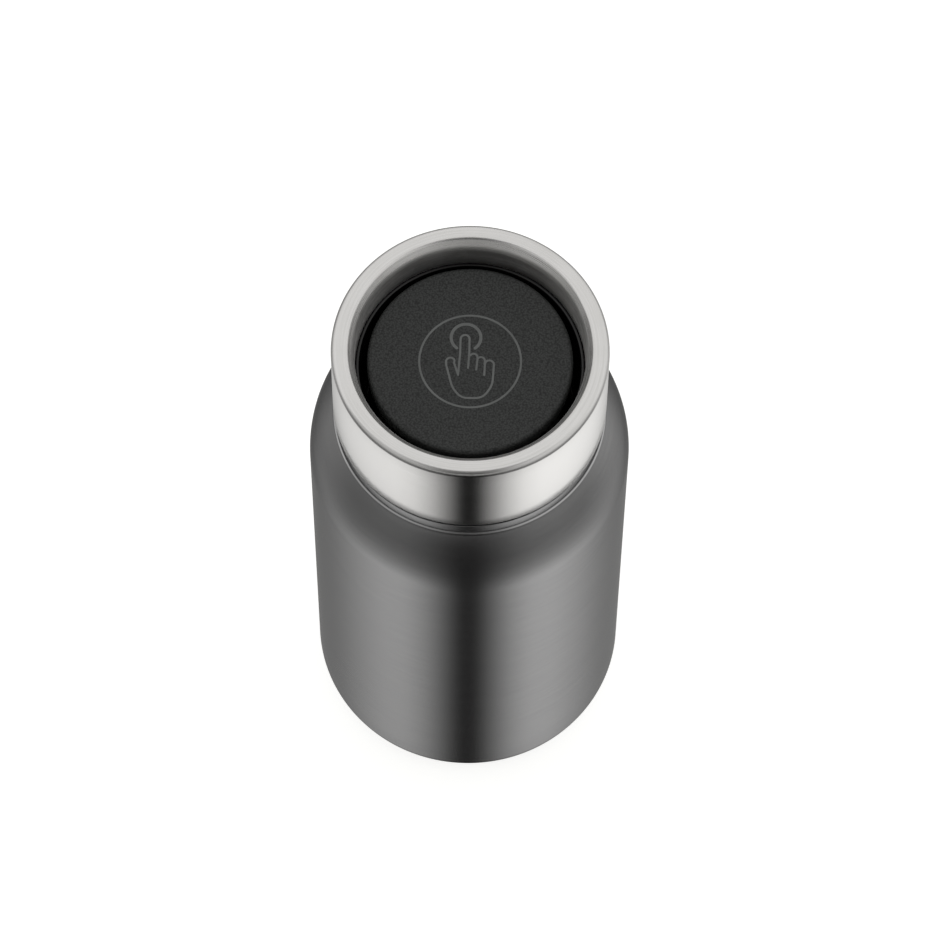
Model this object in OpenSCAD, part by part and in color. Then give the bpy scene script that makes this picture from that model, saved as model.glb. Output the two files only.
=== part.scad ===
// Double-walled vacuum travel flask with a screw-in, push-button lid.
// Millimetres, +Z up, origin at the centre of the ring that the flask stands on.

/* [Flask body] */
// Outer diameter of the body
body_d = 72; // [70:0.5:74]
// Height from the table to the rim
total_h = 159.5; // [150:0.5:170]
// Outer diameter of the painted neck under the collar
neck_d = 59.8; // [59.4:0.1:60.2]
// Height of painted neck that shows under the collar
neck_show_h = 4.3; // [3.5:0.1:5]
// Rounding of the body's lower edge
base_edge_r = 6; // [5:0.5:7]
// Thickness of the outer shell's steel
shell_t = 0.45; // [0.4:0.05:0.6]
// Thickness of the liner's steel
liner_t = 0.35; // [0.35:0.05:0.5]
// Width of the evacuated space between the two walls
vacuum_gap = 2.7; // [2:0.1:3]

/* [Mouth collar] */
// Outer diameter of the brushed collar
collar_d = 60.7; // [60.5:0.1:61.5]
// Height of the collar
collar_h = 26.4; // [26:0.1:27]
// Inner diameter of the mouth
mouth_d = 50.9; // [50.8:0.1:51.2]
// Thickness of the collar's steel
collar_t = 0.55; // [0.5:0.05:0.7]
// Rounding of the rim's outer edge
rim_outer_r = 1.15; // [0.8:0.05:1.3]
// Rounding of the rim's inner edge
rim_inner_r = 3.2; // [2.5:0.1:3.4]

/* [Lid] */
// Diameter of the push plate
plate_d = 45; // [44.6:0.1:45.2]
// Depth of the push plate's top under the rim
plate_drop = 5.8; // [5.4:0.1:6.4]
// Depth of the lid ring's top under the rim
ring_drop = 8.5; // [8.3:0.1:8.7]
// Travel of the push plate
button_travel = 5; // [4:0.1:5]

/* [Lid thread] */
// Number of thread starts
thread_starts = 3; // [2:1:3]
// Rise in one full turn
thread_lead = 12; // [11:0.5:13]
// Angle that one thread ridge covers
thread_span = 180; // [150:5:200]

/* [Hidden] */
$fn = 96;

// Colours
paint_grey = "#5c5d5f";
steel = "#c9c8c5";
steel_dull = "#a9a8a4";
black_plastic = "#1d1e1e";
dark_plastic = "#2c2d2d";
silicone = "#3a3b3c";
spring_steel = "#b9babb";
glass_frit = "#6b5a45";
getter_grey = "#3f4144";

// Flask radii and heights
body_r = body_d / 2;
neck_r = neck_d / 2;
collar_r = collar_d / 2;
mouth_r = mouth_d / 2;
collar_z = total_h - collar_h;
seam_gap = 0.3;                       // shadow line between the collar and the painted neck
cove_r = 1.5;                         // blend between the domed shoulder and the neck
dome_rise = sqrt(pow(body_r + cove_r, 2) - pow(neck_r + cove_r, 2));
dome_z = collar_z - neck_show_h - dome_rise;
dome_a = asin(dome_rise / (body_r + cove_r));
spigot_r = collar_r - collar_t;       // the shell's neck is welded inside the collar's skirt
spigot_h = 4.5;
hem_r = body_r - base_edge_r - 1.5;   // inner edge of the ring that the flask stands on

// Bottom closure
bottom_z = 3.6;                       // underside of the raised middle of the outer bottom
bottom_t = 0.6;
vent_r = 1;                           // hole through which the space is evacuated
cover_z = 1;
getter_x = 12;
getter_r = 3.9;
getter_h = 1.5;

// Liner
liner_r = body_r - shell_t - vacuum_gap;
liner_base_z = 8;
liner_base_r = 6;
liner_dome_z = 105.5 + (total_h - 159.5);
liner_dome_a = 39.7;
seat_r = 24.3;                        // smooth stretch of the neck that the gasket seals on
seat_z = 127 + (total_h - 159.5);
seat_h = 4.5;
liner_top_z = total_h - 11.5;         // weld between the liner and the collar

// Lid heights all hang from the rim
plate_z = total_h - plate_drop;
ring_z = total_h - ring_drop;
lid_root_r = 24.1;                    // lid wall under its thread
lid_lip_r = mouth_r - 0.35;
lid_bore_r = 22.9;
valve_hole_r = 20.6;
lid_low_z = ring_z - 26.4;
groove_z = lid_low_z + 2.2;
groove_h = 3.8;
groove_r = 22.6;
hub_r = 8.8;
hub_bore_r = 7.4;
hub_low_z = lid_low_z + 1.2;
hub_floor_z = hub_low_z + 3.2;
hub_top_z = ring_z - 4.4;
stem_r = 2.95;
guide_gap = 0.1;                      // radial play of the stem in the hub
oring_wire_r = 0.75;
gland_r = stem_r + 2 * oring_wire_r + 0.1;
retainer_t = 0.8;
gland_h = retainer_t + 2 * oring_wire_r + 0.1;

// Thread ridges
ridge_root_w = 2;
ridge_crest_w = 0.9;
male_crest_r = mouth_r - 0.3;
female_crest_r = lid_root_r + 0.4;
male_z = ring_z - 13.8;
flank_shift = 1.55;                   // the lid's ridges sit this far under the neck's
thread_turn = 11;                     // where the first ridge starts, round from +X

// Push-push latch
pin_r = 0.5;
pin_leg_y = -7.9;
pin_pivot_z = hub_floor_z + 3.4;
pin_len = 9;
pin_swing = 18;
pin_tip_z = pin_pivot_z + pin_len;
flat_y = -6;
track_floor_y = -4.7;
track_w = 1.5;
plunger_r = 7.2;
plunger_low_z = hub_floor_z + button_travel + 0.4;
plunger_top_z = plate_z - 3.7;
spring_pocket_z = plunger_low_z + 5.2;
spring_r = 4.9;
wire_r = 0.4;
spring_turns = 5;

// Points of an arc in a profile, as [radius, height]
function arc(c, r, a0, a1, n) =
    [for (i = [0:n]) let (a = a0 + (a1 - a0) * i / n) [c[0] + r * cos(a), c[1] + r * sin(a)]];

module lathe(points) {
    rotate_extrude() polygon(points);
}

// Closed solid through a list of rings that all have the same number of points
module skin(rings) {
    n = len(rings[0]);
    m = len(rings);
    points = [for (ring = rings) each ring];
    sides = [
        for (j = [0:m - 2], i = [0:n - 1])
            let (a = j * n + i, b = j * n + (i + 1) % n)
                each [[a, b, b + n], [a, b + n, a + n]]
    ];
    start = [for (i = [1:n - 2]) [0, i + 1, i]];
    end = [for (i = [1:n - 2]) [(m - 1) * n, (m - 1) * n + i, (m - 1) * n + i + 1]];
    polyhedron(points = points, faces = concat(sides, start, end));
}

// One helical ridge from root radius to crest radius, fading out at both ends
module thread_ridge(root_r, crest_r, z0) {
    steps = 36;
    fade = 4;
    skin([
        for (j = [0:steps])
            let (
                a = thread_span * j / steps,
                z = z0 + thread_lead * a / 360,
                grow = min(1, 0.25 + 0.75 * min(j, steps - j) / fade),
                tip = root_r + (crest_r - root_r) * grow,
                wr = ridge_root_w / 2,
                wc = ridge_crest_w / 2,
                section = crest_r > root_r
                    ? [[root_r, z - wr], [tip, z - wc], [tip, z + wc], [root_r, z + wr]]
                    : [[root_r, z + wr], [tip, z + wc], [tip, z - wc], [root_r, z - wr]]
            )
                [for (p = section) [p[0] * cos(a), p[0] * sin(a), p[1]]]
    ]);
}

module thread(root_r, crest_r, z0) {
    for (i = [0:thread_starts - 1])
        rotate(thread_turn + i * 360 / thread_starts)
            thread_ridge(root_r, crest_r, z0);
}

// ---- Flask ----

// Painted outer casing: rolled foot ring, straight wall, domed shoulder and neck with a spigot
module outer_shell() {
    edge_c = [body_r - base_edge_r, base_edge_r];
    cove_c = [neck_r + cove_r, dome_z + dome_rise];
    step_z = collar_z - seam_gap;
    color(paint_grey)
        lathe(concat(
            [[hem_r, 0]],
            arc(edge_c, base_edge_r, -90, 0, 8),
            arc([0, dome_z], body_r, 0, dome_a, 16),
            arc(cove_c, cove_r, 180 + dome_a, 180, 4),
            [
                [neck_r, step_z], [spigot_r, step_z],
                [spigot_r, step_z + spigot_h], [spigot_r - shell_t, step_z + spigot_h],
                [spigot_r - shell_t, step_z - shell_t], [neck_r - shell_t, step_z - shell_t]
            ],
            arc(cove_c, cove_r + shell_t, 180, 180 + dome_a, 4),
            arc([0, dome_z], body_r - shell_t, dome_a, 0, 16),
            arc(edge_c, base_edge_r - shell_t, 0, -90, 8),
            [[hem_r, shell_t]]
        ));
}

// Stamped disc welded inside the foot ring, with the vent hole in its raised middle
module outer_bottom() {
    rim_r = hem_r + 1.5;
    color(steel_dull)
        lathe([
            [vent_r, bottom_z], [hem_r - 3.3, bottom_z], [hem_r - 1.7, shell_t], [rim_r, shell_t],
            [rim_r, shell_t + bottom_t], [hem_r - 1.3, shell_t + bottom_t],
            [hem_r - 2.9, bottom_z + bottom_t], [vent_r, bottom_z + bottom_t]
        ]);
}

// Thin plate pressed into the recess, which hides and protects the sealed vent
module base_cover() {
    cover_r = hem_r - 2.5;
    color(steel)
        lathe([
            [0, cover_z + 0.5], [8, cover_z + 0.5], [9.5, cover_z], [cover_r, cover_z],
            [cover_r, cover_z + 1], [cover_r - 0.5, cover_z + 1], [cover_r - 0.5, cover_z + 0.5],
            [9.7, cover_z + 0.5], [8.2, cover_z + 1], [0, cover_z + 1]
        ]);
}

// Bead of solder glass that closes the vent
module vacuum_seal_bead() {
    bead_r = 3.2;
    color(glass_frit)
        lathe(concat(
            [[0, bottom_z + bottom_t], [0, bottom_z - 0.9]],
            arc([bead_r - 0.9, bottom_z], 0.9, -90, 0, 4),
            [[vent_r, bottom_z], [vent_r, bottom_z + bottom_t]]
        ));
}

// Pellet that soaks up stray gas in the evacuated space
module getter_pellet() {
    color(getter_grey)
        translate([getter_x, 0, bottom_z + bottom_t])
            cylinder(r = getter_r, h = getter_h);
}

// Spring clip welded to the bottom, which holds the pellet down
module getter_clip() {
    color(steel)
        translate([getter_x, 0, bottom_z + bottom_t])
            lathe([
                [getter_r, 0], [getter_r + 1.2, 0], [getter_r + 1.2, 0.3], [getter_r + 0.3, 0.3],
                [getter_r + 0.3, getter_h + 0.3], [getter_r - 0.8, getter_h + 0.3],
                [getter_r - 0.8, getter_h], [getter_r, getter_h]
            ]);
}

// Inner vessel: wall, domed shoulder, gasket seat and threaded neck
module inner_liner() {
    top = [[mouth_r + liner_t, liner_top_z], [mouth_r, liner_top_z]];
    flare_z = seat_z + seat_h + 2;
    color(steel)
        union() {
            lathe(concat(
                [[liner_r, liner_base_z + liner_base_r]],
                arc([0, liner_dome_z], liner_r, 0, liner_dome_a, 14),
                [
                    [seat_r + liner_t, seat_z + 0.3], [seat_r + liner_t, flare_z - 2.2],
                    [mouth_r + liner_t, flare_z - 0.2]
                ],
                top,
                [[mouth_r, flare_z], [seat_r, seat_z + seat_h], [seat_r, seat_z]],
                arc([0, liner_dome_z], liner_r - liner_t, liner_dome_a, 0, 14),
                [[liner_r - liner_t, liner_base_z + liner_base_r]]
            ));
            thread(mouth_r + liner_t / 2, female_crest_r, male_z + flank_shift);
        }
}

// Stamped cup welded under the liner's wall
module liner_bottom() {
    z = liner_base_z + liner_base_r;
    edge_c = [liner_r - liner_base_r, z];
    color(steel)
        lathe(concat(
            [[0, liner_base_z]],
            arc(edge_c, liner_base_r, -90, 0, 8),
            arc(edge_c, liner_base_r - liner_t, 0, -90, 8),
            [[0, liner_base_z + liner_t]]
        ));
}

// Brushed drinking collar: outer skirt, flat rim and inner skirt, folded from one ring
module mouth_collar() {
    outer_c = [collar_r - rim_outer_r, total_h - rim_outer_r];
    inner_c = [mouth_r + rim_inner_r, total_h - rim_inner_r];
    skirt_r = collar_r - collar_t;
    color(steel)
        lathe(concat(
            [[skirt_r, collar_z], [collar_r, collar_z]],
            arc(outer_c, rim_outer_r, 0, 90, 6),
            arc(inner_c, rim_inner_r, 90, 180, 6),
            [
                [mouth_r, liner_top_z], [mouth_r + collar_t, liner_top_z]
            ],
            arc(inner_c, rim_inner_r - collar_t, 180, 90, 6),
            [
                [outer_c[0], total_h - collar_t], [skirt_r, outer_c[1]]
            ]
        ));
}

// ---- Lid ----

module lid_wall() {
    lathe([
        [valve_hole_r, lid_low_z], [23.9, lid_low_z], [23.9, groove_z], [groove_r, groove_z],
        [groove_r, groove_z + groove_h], [lid_root_r, groove_z + groove_h],
        [lid_root_r, ring_z - 4.4], [lid_lip_r, ring_z - 3.4], [lid_lip_r, ring_z - 0.3],
        [lid_lip_r - 0.3, ring_z], [lid_lip_r - 0.7, ring_z], [lid_bore_r + 0.3, ring_z - 3.5],
        [lid_bore_r, ring_z - 4.5], [lid_bore_r, lid_low_z + 8.4], [21.3, lid_low_z + 6.4],
        [21.3, lid_low_z + 2.8], [valve_hole_r, lid_low_z + 2]
    ]);
}

// Radial ribs that carry the hub and leave the drink free to pass between them
module lid_ribs() {
    rib_t = 1.4;
    rib_z = lid_low_z + 3.4;
    for (i = [0:5])
        rotate([90, 0, 30 + i * 60])
            linear_extrude(height = rib_t, center = true)
                polygon([
                    [hub_r - 0.6, rib_z], [21.8, rib_z], [21.8, rib_z + 2.9],
                    [lid_bore_r + 0.4, rib_z + 4.8], [lid_bore_r + 0.4, rib_z + 9], [hub_r - 0.6, rib_z + 9]
                ]);
}

// Screw-in body of the lid: threaded ring, ribs, and a hub that guides the plunger
module lid_body() {
    pad_w = 9.2;
    pad_y = -10.6;
    color(black_plastic)
        difference() {
            union() {
                lid_wall();
                lid_ribs();
                translate([0, 0, hub_low_z]) cylinder(r = hub_r, h = hub_top_z - hub_low_z);
                translate([-pad_w / 2, pad_y, hub_floor_z])
                    cube([pad_w, 3.6, hub_top_z - hub_floor_z]);
                thread(lid_root_r - 0.3, male_crest_r, male_z);
            }
            translate([0, 0, hub_floor_z]) cylinder(r = hub_bore_r, h = 30);
            translate([0, 0, hub_low_z - 1]) cylinder(r = stem_r + guide_gap, h = 6);
            translate([0, 0, hub_low_z - 1]) cylinder(r = gland_r, h = gland_h + 1);
            translate([-3.8, pin_leg_y - 0.85, pin_pivot_z - 1.2]) cube([7.6, 2.5, pin_len + 2.6]);
            translate([0, pin_leg_y - 0.5, pin_pivot_z])
                rotate([90, 0, 0]) cylinder(r = pin_r + 0.08, h = 1.7);
        }
}

// Ring that keeps the drink out of the latch
module stem_oring() {
    color(silicone)
        translate([0, 0, hub_low_z + retainer_t + oring_wire_r + 0.05])
            rotate_extrude()
                translate([stem_r + 0.05 + oring_wire_r, 0]) circle(r = oring_wire_r, $fn = 32);
}

// Washer pressed into the hub under the ring
module oring_retainer() {
    color(dark_plastic)
        lathe([
            [stem_r + 0.2, hub_low_z], [gland_r, hub_low_z],
            [gland_r, hub_low_z + retainer_t], [stem_r + 0.2, hub_low_z + retainer_t]
        ]);
}

// Compression spring between the hub's floor and the plunger
module return_spring() {
    low = hub_floor_z + wire_r;
    high = spring_pocket_z - wire_r - 0.05;
    sides = 8;
    per_turn = 24;
    color(spring_steel)
        skin([
            for (j = [0:spring_turns * per_turn])
                let (a = 360 * j / per_turn, z = low + (high - low) * j / (spring_turns * per_turn))
                    [
                        for (i = [0:sides - 1])
                            let (b = 360 * i / sides, r = spring_r + wire_r * cos(b))
                                [r * cos(a), r * sin(a), z + wire_r * sin(b)]
                    ]
        ]);
}

// Cranked wire whose tip follows the heart-shaped track
module latch_pin() {
    color(spring_steel)
        union() {
            translate([0, pin_leg_y, pin_pivot_z]) cylinder(r = pin_r, h = pin_len);
            for (z = [pin_pivot_z, pin_tip_z])
                translate([0, pin_leg_y, z]) sphere(r = pin_r);
            translate([0, pin_leg_y, pin_pivot_z]) rotate([90, 0, 0]) cylinder(r = pin_r, h = 2);
            translate([0, pin_leg_y, pin_tip_z]) rotate([-90, 0, 0]) cylinder(r = pin_r, h = 3);
        }
}

// Double-lip seal between the lid and the neck
module neck_gasket() {
    in_r = groove_r + 0.1;
    wall_r = 23.7;
    lip_r = seat_r - 0.1;
    z = groove_z + 0.3;
    color(silicone)
        lathe([
            [in_r, z], [wall_r, z], [lip_r, z + 0.6], [wall_r, z + 1.2], [wall_r, z + 2],
            [lip_r, z + 2.6], [wall_r, z + 3.2], [in_r, z + 3.2]
        ]);
}

// ---- Push button and valve ----

// Cap that the thumb presses
module push_plate() {
    r = plate_d / 2;
    edge = 0.9;
    color(dark_plastic)
        lathe(concat(
            [[0, plate_z - 1.6], [0, plate_z]],
            arc([r - edge, plate_z - edge], edge, 90, 0, 5),
            [
                [r, plate_z - 3.1], [r - 1.3, plate_z - 3.1], [r - 1.3, plate_z - 1.6],
                [7, plate_z - 1.6], [7, plunger_top_z], [stem_r, plunger_top_z],
                [stem_r, plate_z - 1.6]
            ]
        ));
}

// Straight stretch of the latch track between two points on the flat
module track_run(a, b) {
    d = b - a;
    translate(a)
        rotate(-atan2(d[0], d[1]))
            translate([-track_w / 2, 0]) square([track_w, norm(d)]);
}

// Heart-shaped track: out to a lobe on either side of the start, and back to the notch between them
module heart_track() {
    lobe_x = pin_len * sin(pin_swing);
    lobe_z = pin_tip_z + button_travel - pin_len * (1 - cos(pin_swing));
    start = [0, pin_tip_z];
    notch = [0, lobe_z - 0.65];
    for (x = [-lobe_x, lobe_x]) {
        track_run(start, [x, lobe_z]);
        track_run(notch, [x, lobe_z]);
    }
    for (p = [start, notch, [-lobe_x, lobe_z], [lobe_x, lobe_z]])
        translate(p) circle(r = track_w / 2);
}

// Slider under the plate, with a flat that carries the heart-shaped track
module plunger() {
    color(steel_dull)
        difference() {
            translate([0, 0, plunger_low_z]) cylinder(r = plunger_r, h = plunger_top_z - plunger_low_z);
            translate([0, 0, plunger_low_z - 1]) cylinder(r = stem_r, h = 30);
            translate([0, 0, plunger_low_z - 1]) cylinder(r = 5.9, h = spring_pocket_z - plunger_low_z + 1);
            translate([-8, flat_y - 5, pin_tip_z - 1.5]) cube([16, 5, button_travel + 4]);
            translate([0, track_floor_y, 0])
                rotate([90, 0, 0]) linear_extrude(height = 3) heart_track();
        }
}

// Rod that ties the plate and plunger to the valve
module valve_stem() {
    low_z = lid_low_z - 7.6;
    color(steel)
        union() {
            translate([0, 0, low_z]) cylinder(r = stem_r, h = plate_z - 1.7 - low_z);
            translate([0, 0, low_z - 0.6]) cylinder(r1 = stem_r - 0.6, r2 = stem_r, h = 0.6);
        }
}

// Shallow cone that closes the lid from below
module valve_disc() {
    rim_r = 21.9;
    color(black_plastic)
        lathe([
            [stem_r, lid_low_z - 5], [5.5, lid_low_z - 5], [rim_r, lid_low_z - 2.8],
            [rim_r, lid_low_z - 1.4], [20.2, lid_low_z - 0.8], [6, lid_low_z + 0.8],
            [stem_r, lid_low_z + 0.8]
        ]);
}

// Soft ring round the valve's edge
module valve_seal() {
    color(silicone)
        lathe([
            [21.95, lid_low_z - 2.7], [22.9, lid_low_z - 2.7], [22.9, lid_low_z - 0.4],
            [22.6, lid_low_z - 0.15], [20.7, lid_low_z - 0.15], [20.7, lid_low_z - 0.85],
            [21.95, lid_low_z - 1.3]
        ]);
}

// Fluted nut that comes off so that the valve can be washed
module valve_nut() {
    nut_r = 6.2;
    nut_h = 3.9;
    flutes = 8;
    z = lid_low_z - 5.05 - nut_h;
    color(dark_plastic)
        difference() {
            translate([0, 0, z]) cylinder(r = nut_r, h = nut_h);
            translate([0, 0, lid_low_z - 8.25]) cylinder(r = stem_r + 0.05, h = 5);
            for (i = [0:flutes - 1])
                rotate(i * 360 / flutes)
                    translate([nut_r + 0.7, 0, z - 1]) cylinder(r = 1.6, h = nut_h + 2);
        }
}

outer_shell();
outer_bottom();
base_cover();
vacuum_seal_bead();
getter_pellet();
getter_clip();
inner_liner();
liner_bottom();
mouth_collar();
lid_body();
stem_oring();
oring_retainer();
return_spring();
latch_pin();
neck_gasket();
push_plate();
plunger();
valve_stem();
valve_disc();
valve_seal();
valve_nut();
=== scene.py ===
import math

import bmesh
import bpy
from mathutils import Matrix, Vector


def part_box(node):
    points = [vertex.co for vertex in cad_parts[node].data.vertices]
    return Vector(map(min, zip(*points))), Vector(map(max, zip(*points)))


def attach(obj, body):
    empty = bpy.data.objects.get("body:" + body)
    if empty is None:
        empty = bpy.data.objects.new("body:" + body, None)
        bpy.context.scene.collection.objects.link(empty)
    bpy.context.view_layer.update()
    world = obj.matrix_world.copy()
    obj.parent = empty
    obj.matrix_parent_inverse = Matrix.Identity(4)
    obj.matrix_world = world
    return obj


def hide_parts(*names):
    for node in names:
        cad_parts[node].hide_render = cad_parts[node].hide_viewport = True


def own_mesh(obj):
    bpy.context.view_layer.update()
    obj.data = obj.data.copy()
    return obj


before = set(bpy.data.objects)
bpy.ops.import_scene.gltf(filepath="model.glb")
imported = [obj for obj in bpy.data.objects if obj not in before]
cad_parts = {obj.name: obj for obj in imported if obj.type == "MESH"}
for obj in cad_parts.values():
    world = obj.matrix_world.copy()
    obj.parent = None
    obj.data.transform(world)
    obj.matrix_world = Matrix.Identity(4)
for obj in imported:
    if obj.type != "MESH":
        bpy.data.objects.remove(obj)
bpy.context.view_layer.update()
mm = 0.001
print("frame: loaded,", len(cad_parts), "nodes")


# Where things are, in millimetres, read off the frame
def topOf(node):
    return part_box(node)[1].z / mm


def lowOf(node):
    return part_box(node)[0].z / mm


def radiusOf(node):
    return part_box(node)[1].x / mm


bodyR = radiusOf("outer_shell")
collarR = radiusOf("mouth_collar")
collarZ = lowOf("mouth_collar")
rimZ = topOf("mouth_collar")
linerR = radiusOf("inner_liner")
seamZ = topOf("inner_liner")          # weld between the liner and the collar
plateR = radiusOf("push_plate")
plateZ = topOf("push_plate")
ringZ = topOf("lid_body")
ringLowZ = lowOf("lid_body")


# Outlines are lists of (radius, height) in millimetres
def arc(centreR, centreZ, radius, startDeg, endDeg, steps=12):
    turns = [math.radians(startDeg + (endDeg - startDeg) * i / steps) for i in range(steps + 1)]
    return [(centreR + radius * math.cos(a), centreZ + radius * math.sin(a)) for a in turns]


# Rounds each (radius, height, rounding) corner of an outline; a rounding of 0 keeps it sharp
def soften(corners, steps=5, closed=True):
    points = []
    last = len(corners) - 1
    for i, (r, z, rounding) in enumerate(corners):
        here = Vector((r, z))
        if rounding == 0 or (not closed and i in (0, last)):
            points.append((r, z))
            continue
        back = Vector(corners[i - 1][:2]) - here
        ahead = Vector(corners[(i + 1) % len(corners)][:2]) - here
        half = back.angle(ahead) / 2
        reach = min(rounding / math.tan(half), 0.48 * back.length, 0.48 * ahead.length)
        start = here + back.normalized() * reach
        end = here + ahead.normalized() * reach
        for k in range(steps + 1):         # quadratic curve that is tangent to both sides
            t = k / steps
            point = start * (1 - t) ** 2 + here * 2 * t * (1 - t) + end * t ** 2
            points.append((point.x, point.y))
    return points


# Spins an outline round the axis. bulge(radius, height, angle) may change a point's radius
def lathe(name, outline, steps=256, closed=True, bulge=None):
    bm = bmesh.new()
    rings = []
    for r, z in outline:
        if r < 1e-6:
            rings.append([bm.verts.new((0, 0, z * mm))])
            continue
        ring = []
        for i in range(steps):
            angle = 2 * math.pi * i / steps
            radius = (bulge(r, z, angle) if bulge else r) * mm
            ring.append(bm.verts.new((radius * math.cos(angle), radius * math.sin(angle), z * mm)))
        rings.append(ring)
    nextRings = rings[1:] + rings[:1] if closed else rings[1:]
    for a, b in zip(rings, nextRings):
        for i in range(steps):
            j = (i + 1) % steps
            if len(a) == 1 and len(b) > 1:
                bm.faces.new((a[0], b[j], b[i]))
            elif len(b) == 1 and len(a) > 1:
                bm.faces.new((a[i], a[j], b[0]))
            elif len(a) > 1:
                bm.faces.new((a[i], a[j], b[j], b[i]))
    bmesh.ops.recalc_face_normals(bm, faces=bm.faces)
    return finishMesh(name, bm)


def finishMesh(name, bm, sharpDeg=35):
    mesh = bpy.data.meshes.new(name)
    bm.to_mesh(mesh)
    bm.free()
    mesh.shade_smooth()
    mesh.set_sharp_from_angle(angle=math.radians(sharpDeg))
    piece = bpy.data.objects.new(name, mesh)
    bpy.context.scene.collection.objects.link(piece)
    return piece


def place(piece, body, slot, finish, *nodes):
    piece.data.materials.clear()
    piece.data.materials.append(finish)
    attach(piece, body)
    if nodes:
        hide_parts(*nodes)
    return piece


# Materials
def linearColour(hexColour):
    parts = [int(hexColour[i:i + 2], 16) / 255 for i in (1, 3, 5)]
    return [*(p / 12.92 if p <= 0.04045 else ((p + 0.055) / 1.055) ** 2.4 for p in parts), 1]


# Adds a node. A setting is one of the node's own values, or a socket's; stops fill a colour ramp
def addNode(tree, kind, settings={}, links={}):
    node = tree.nodes.new(kind)
    for key, value in settings.items():
        if key == "stops":
            points = node.color_ramp.elements
            for k, (spot, colour) in enumerate(value):
                point = points[k] if k < 2 else points.new(spot)
                point.position = spot
                point.color = colour
        elif isinstance(key, str) and hasattr(node, key):
            setattr(node, key, value)
        else:
            node.inputs[key].default_value = value
    for key, source in links.items():
        tree.links.new(source, node.inputs[key])
    return node


def newMaterial(name):
    material = bpy.data.materials.new(name)
    material.use_nodes = True
    material.node_tree.nodes.clear()
    return material, material.node_tree


# Ends a material: its fixed values, and the patterns that drive the others
def finishMaterial(material, settings, links={}):
    tree = material.node_tree
    shader = addNode(tree, "ShaderNodeBsdfPrincipled", settings, links)
    addNode(tree, "ShaderNodeOutputMaterial", {}, {"Surface": shader.outputs[0]})
    return material


# A noise pattern lies mostly between 0.3 and 0.7: these spread it over two colours, or two values
def twoColours(darkHex, lightHex):
    return {"stops": [(0.3, linearColour(darkHex)), (0.7, linearColour(lightHex))]}


def twoValues(low, high):
    return {"From Min": 0.3, "From Max": 0.7, "To Min": low, "To Max": high}


# Lines that run round the axis: long in x and y, and lineMm apart in height and radius
def turnedLines(tree, lengthMm, lineMm):
    here = addNode(tree, "ShaderNodeTexCoord").outputs["Object"]
    flat = addNode(tree, "ShaderNodeVectorMath", {"operation": "MULTIPLY", 1: (1, 1, 0)}, {0: here})
    radius = addNode(tree, "ShaderNodeVectorMath", {"operation": "LENGTH"}, {0: flat.outputs[0]})
    parts = addNode(tree, "ShaderNodeSeparateXYZ", {}, {0: here})
    along = addNode(tree, "ShaderNodeMath", {"operation": "ADD"},
                    {0: parts.outputs["Z"], 1: radius.outputs["Value"]})
    lines = addNode(tree, "ShaderNodeCombineXYZ", {}, {
        "X": parts.outputs["X"], "Y": parts.outputs["Y"], "Z": along.outputs[0]})
    perLength, perLine = 1 / (lengthMm * mm), 1 / (lineMm * mm)
    scaled = addNode(tree, "ShaderNodeVectorMath", {
        "operation": "MULTIPLY", 1: (perLength, perLength, perLine)}, {0: lines.outputs[0]})
    return addNode(tree, "ShaderNodeTexNoise", {
        "Scale": 1.0, "Detail": 3.0, "Roughness": 0.6}, {"Vector": scaled.outputs[0]}).outputs["Fac"]


# An even grain of one size in every direction
def evenGrain(tree, sizeMm):
    here = addNode(tree, "ShaderNodeTexCoord").outputs["Object"]
    return addNode(tree, "ShaderNodeTexNoise", {
        "Scale": 1 / (sizeMm * mm), "Detail": 2.0, "Roughness": 0.55}, {"Vector": here}).outputs["Fac"]


# Stainless steel worked round the axis, so a light draws out into a streak along the axis.
# Its marks are lineMm apart: real grit leaves 0.05 mm, drawn coarser so that it shows.
# coarser adds roughness from one height down to another, both in millimetres
def makeStainless(name, darkHex, lightHex, roughLow, roughHigh, lineMm, bumpMm, coarser=None):
    material, tree = newMaterial(name)
    lines = turnedLines(tree, 22, lineMm)
    cloud = evenGrain(tree, 9)              # broad, faint patches
    patchy = addNode(tree, "ShaderNodeMath", {"operation": "MULTIPLY_ADD", 1: 0.35, 2: -0.17}, {0: cloud})
    mixed = addNode(tree, "ShaderNodeMath", {"operation": "ADD"}, {0: lines, 1: patchy.outputs[0]})
    colour = addNode(tree, "ShaderNodeValToRGB", twoColours(darkHex, lightHex), {"Fac": mixed.outputs[0]})
    rough = addNode(tree, "ShaderNodeMapRange", twoValues(roughLow, roughHigh), {"Value": mixed.outputs[0]})
    if coarser:
        here = addNode(tree, "ShaderNodeTexCoord").outputs["Object"]
        height = addNode(tree, "ShaderNodeSeparateXYZ", {}, {0: here}).outputs["Z"]
        more = addNode(tree, "ShaderNodeMapRange", {
            "From Min": coarser["toZ"] * mm, "From Max": coarser["fromZ"] * mm,
            "To Min": coarser["added"], "To Max": 0.0}, {"Value": height})
        rough = addNode(tree, "ShaderNodeMath", {"operation": "ADD"},
                        {0: rough.outputs[0], 1: more.outputs[0]})
    bump = addNode(tree, "ShaderNodeBump", {"Strength": 0.5, "Distance": bumpMm * mm}, {"Height": lines})
    tangent = addNode(tree, "ShaderNodeTangent", {"direction_type": "RADIAL", "axis": "Z"})
    return finishMaterial(material, {
        "Metallic": 1.0, "Anisotropic": 0.7, "Anisotropic Rotation": 0.25}, {
        "Base Color": colour.outputs["Color"], "Roughness": rough.outputs[0],
        "Normal": bump.outputs[0], "Tangent": tangent.outputs[0]})


# Belt-brushed collar: bright satin with soft edged light and dark bands
brushedStainless = makeStainless("brushed stainless", "#dedddb", "#eae9e8", 0.22, 0.26, 0.25, 0.0015)
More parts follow.
